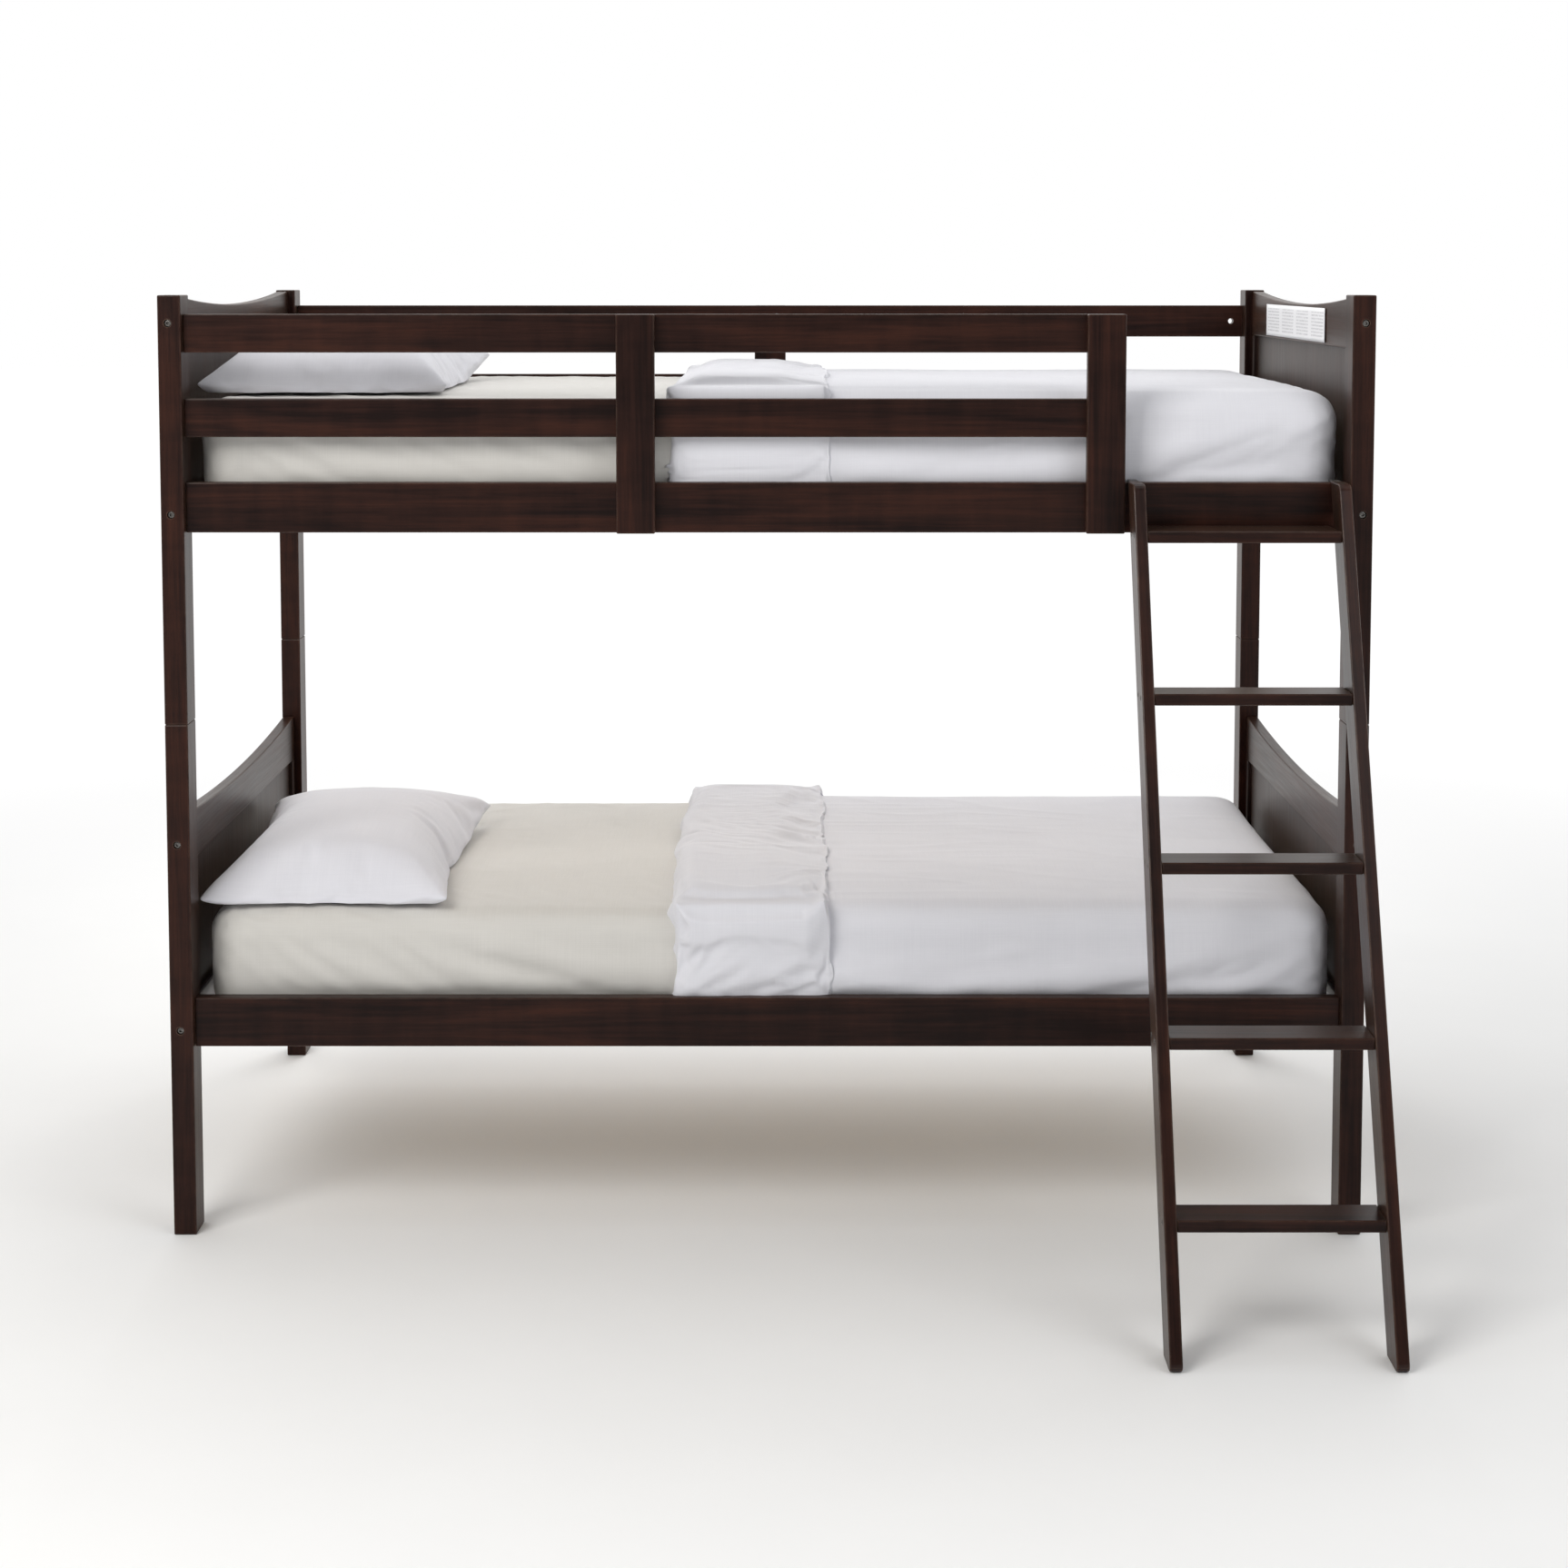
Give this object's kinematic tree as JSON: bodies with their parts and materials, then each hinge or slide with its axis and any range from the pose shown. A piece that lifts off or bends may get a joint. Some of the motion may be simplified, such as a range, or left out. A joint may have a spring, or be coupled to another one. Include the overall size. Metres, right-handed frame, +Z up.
{
  "type": "bunk bed",
  "caption": "Twin-over-twin bunk bed of dark wood with dished end panels, guard rails and a leaning hook-on ladder, made up with mattresses, pillows and folded comforters.",
  "frame": {"origin": "middle of the footprint at floor level, ladder included", "axes": "+X along the bed towards the ladder end, +Y from the ladder side to the back, +Z up"},
  "size_m": [2.02, 1.6333, 1.5963],
  "materials": {
    "espresso_wood": "satin",
    "espresso_panel": "satin",
    "pale_pine": "matte",
    "dark_steel": "satin",
    "ivory_sheet": "matte",
    "white_comforter": "matte",
    "white_pillow": "matte",
    "paper_card": "matte"
  },
  "bodies": {
    "lower_bunk": {"lower_post_front_left": "espresso_wood", "lower_post_front_right": "espresso_wood", "lower_post_back_left": "espresso_wood", "lower_post_back_right": "espresso_wood", "lower_end_top_rail_left": "espresso_wood", "lower_end_top_rail_right": "espresso_wood", "lower_end_panel_left": "espresso_panel", "lower_end_panel_right": "espresso_panel", "lower_end_bottom_rail_left": "espresso_wood", "lower_end_bottom_rail_right": "espresso_wood", "lower_side_rail_front": "espresso_wood", "lower_side_rail_back": "espresso_wood", "lower_slat_cleat_front": "espresso_wood", "lower_slat_cleat_back": "espresso_wood", "lower_slat_deck": "pale_pine", "bunk_pin_front_left": "dark_steel", "bunk_pin_front_right": "dark_steel", "bunk_pin_back_left": "dark_steel", "bunk_pin_back_right": "dark_steel"},
    "upper_bunk": {"upper_post_front_left": "espresso_wood", "upper_post_front_right": "espresso_wood", "upper_post_back_left": "espresso_wood", "upper_post_back_right": "espresso_wood", "upper_end_top_rail_left": "espresso_wood", "upper_end_top_rail_right": "espresso_wood", "upper_end_panel_left": "espresso_panel", "upper_end_panel_right": "espresso_panel", "upper_end_bottom_rail_left": "espresso_wood", "upper_end_bottom_rail_right": "espresso_wood", "upper_side_rail_front": "espresso_wood", "upper_side_rail_back": "espresso_wood", "upper_slat_cleat_front": "espresso_wood", "upper_slat_cleat_back": "espresso_wood", "upper_slat_deck": "pale_pine", "front_guard_rail_middle": "espresso_wood", "front_guard_rail_top": "espresso_wood", "back_guard_rail_middle": "espresso_wood", "back_guard_rail_top": "espresso_wood", "front_guard_end_board": "espresso_wood", "front_guard_middle_board": "espresso_wood", "back_guard_centre_board": "espresso_wood"},
    "ladder": {"ladder_stile_left": "espresso_wood", "ladder_stile_right": "espresso_wood", "ladder_tread_1": "espresso_wood", "ladder_tread_2": "espresso_wood", "ladder_tread_3": "espresso_wood", "ladder_tread_4": "espresso_wood", "ladder_tread_5": "espresso_wood", "ladder_hook_left": "dark_steel", "ladder_hook_right": "dark_steel"},
    "lower_bed": {"lower_mattress": "ivory_sheet", "lower_comforter": "white_comforter"},
    "upper_bed": {"upper_mattress": "ivory_sheet", "upper_comforter": "white_comforter"},
    "lower_pillow": {"lower_pillow": "white_pillow"},
    "upper_pillow": {"upper_pillow": "white_pillow"}
  },
  "joints": [
    {"name": "upper_bunk_lift", "type": "slide", "parent": "lower_bunk", "child": "upper_bunk", "axis": [0, 0, 1], "range_m": [0, 0.08]},
    {"name": "ladder_unhook", "type": "slide", "parent": "upper_bunk", "child": "ladder", "axis": [0, 0, 1], "range_m": [0, 0.08]},
    {"name": "lower_mattress_lift", "type": "slide", "parent": "lower_bunk", "child": "lower_bed", "axis": [0, 0, 1], "range_m": [0, 0.12]},
    {"name": "upper_mattress_lift", "type": "slide", "parent": "upper_bunk", "child": "upper_bed", "axis": [0, 0, 1], "range_m": [0, 0.12]},
    {"name": "lower_pillow_lift", "type": "slide", "parent": "lower_bed", "child": "lower_pillow", "axis": [0, 0, 1], "range_m": [0, 0.15]},
    {"name": "upper_pillow_lift", "type": "slide", "parent": "upper_bed", "child": "upper_pillow", "axis": [0, 0, 1], "range_m": [0, 0.15]}
  ]
}
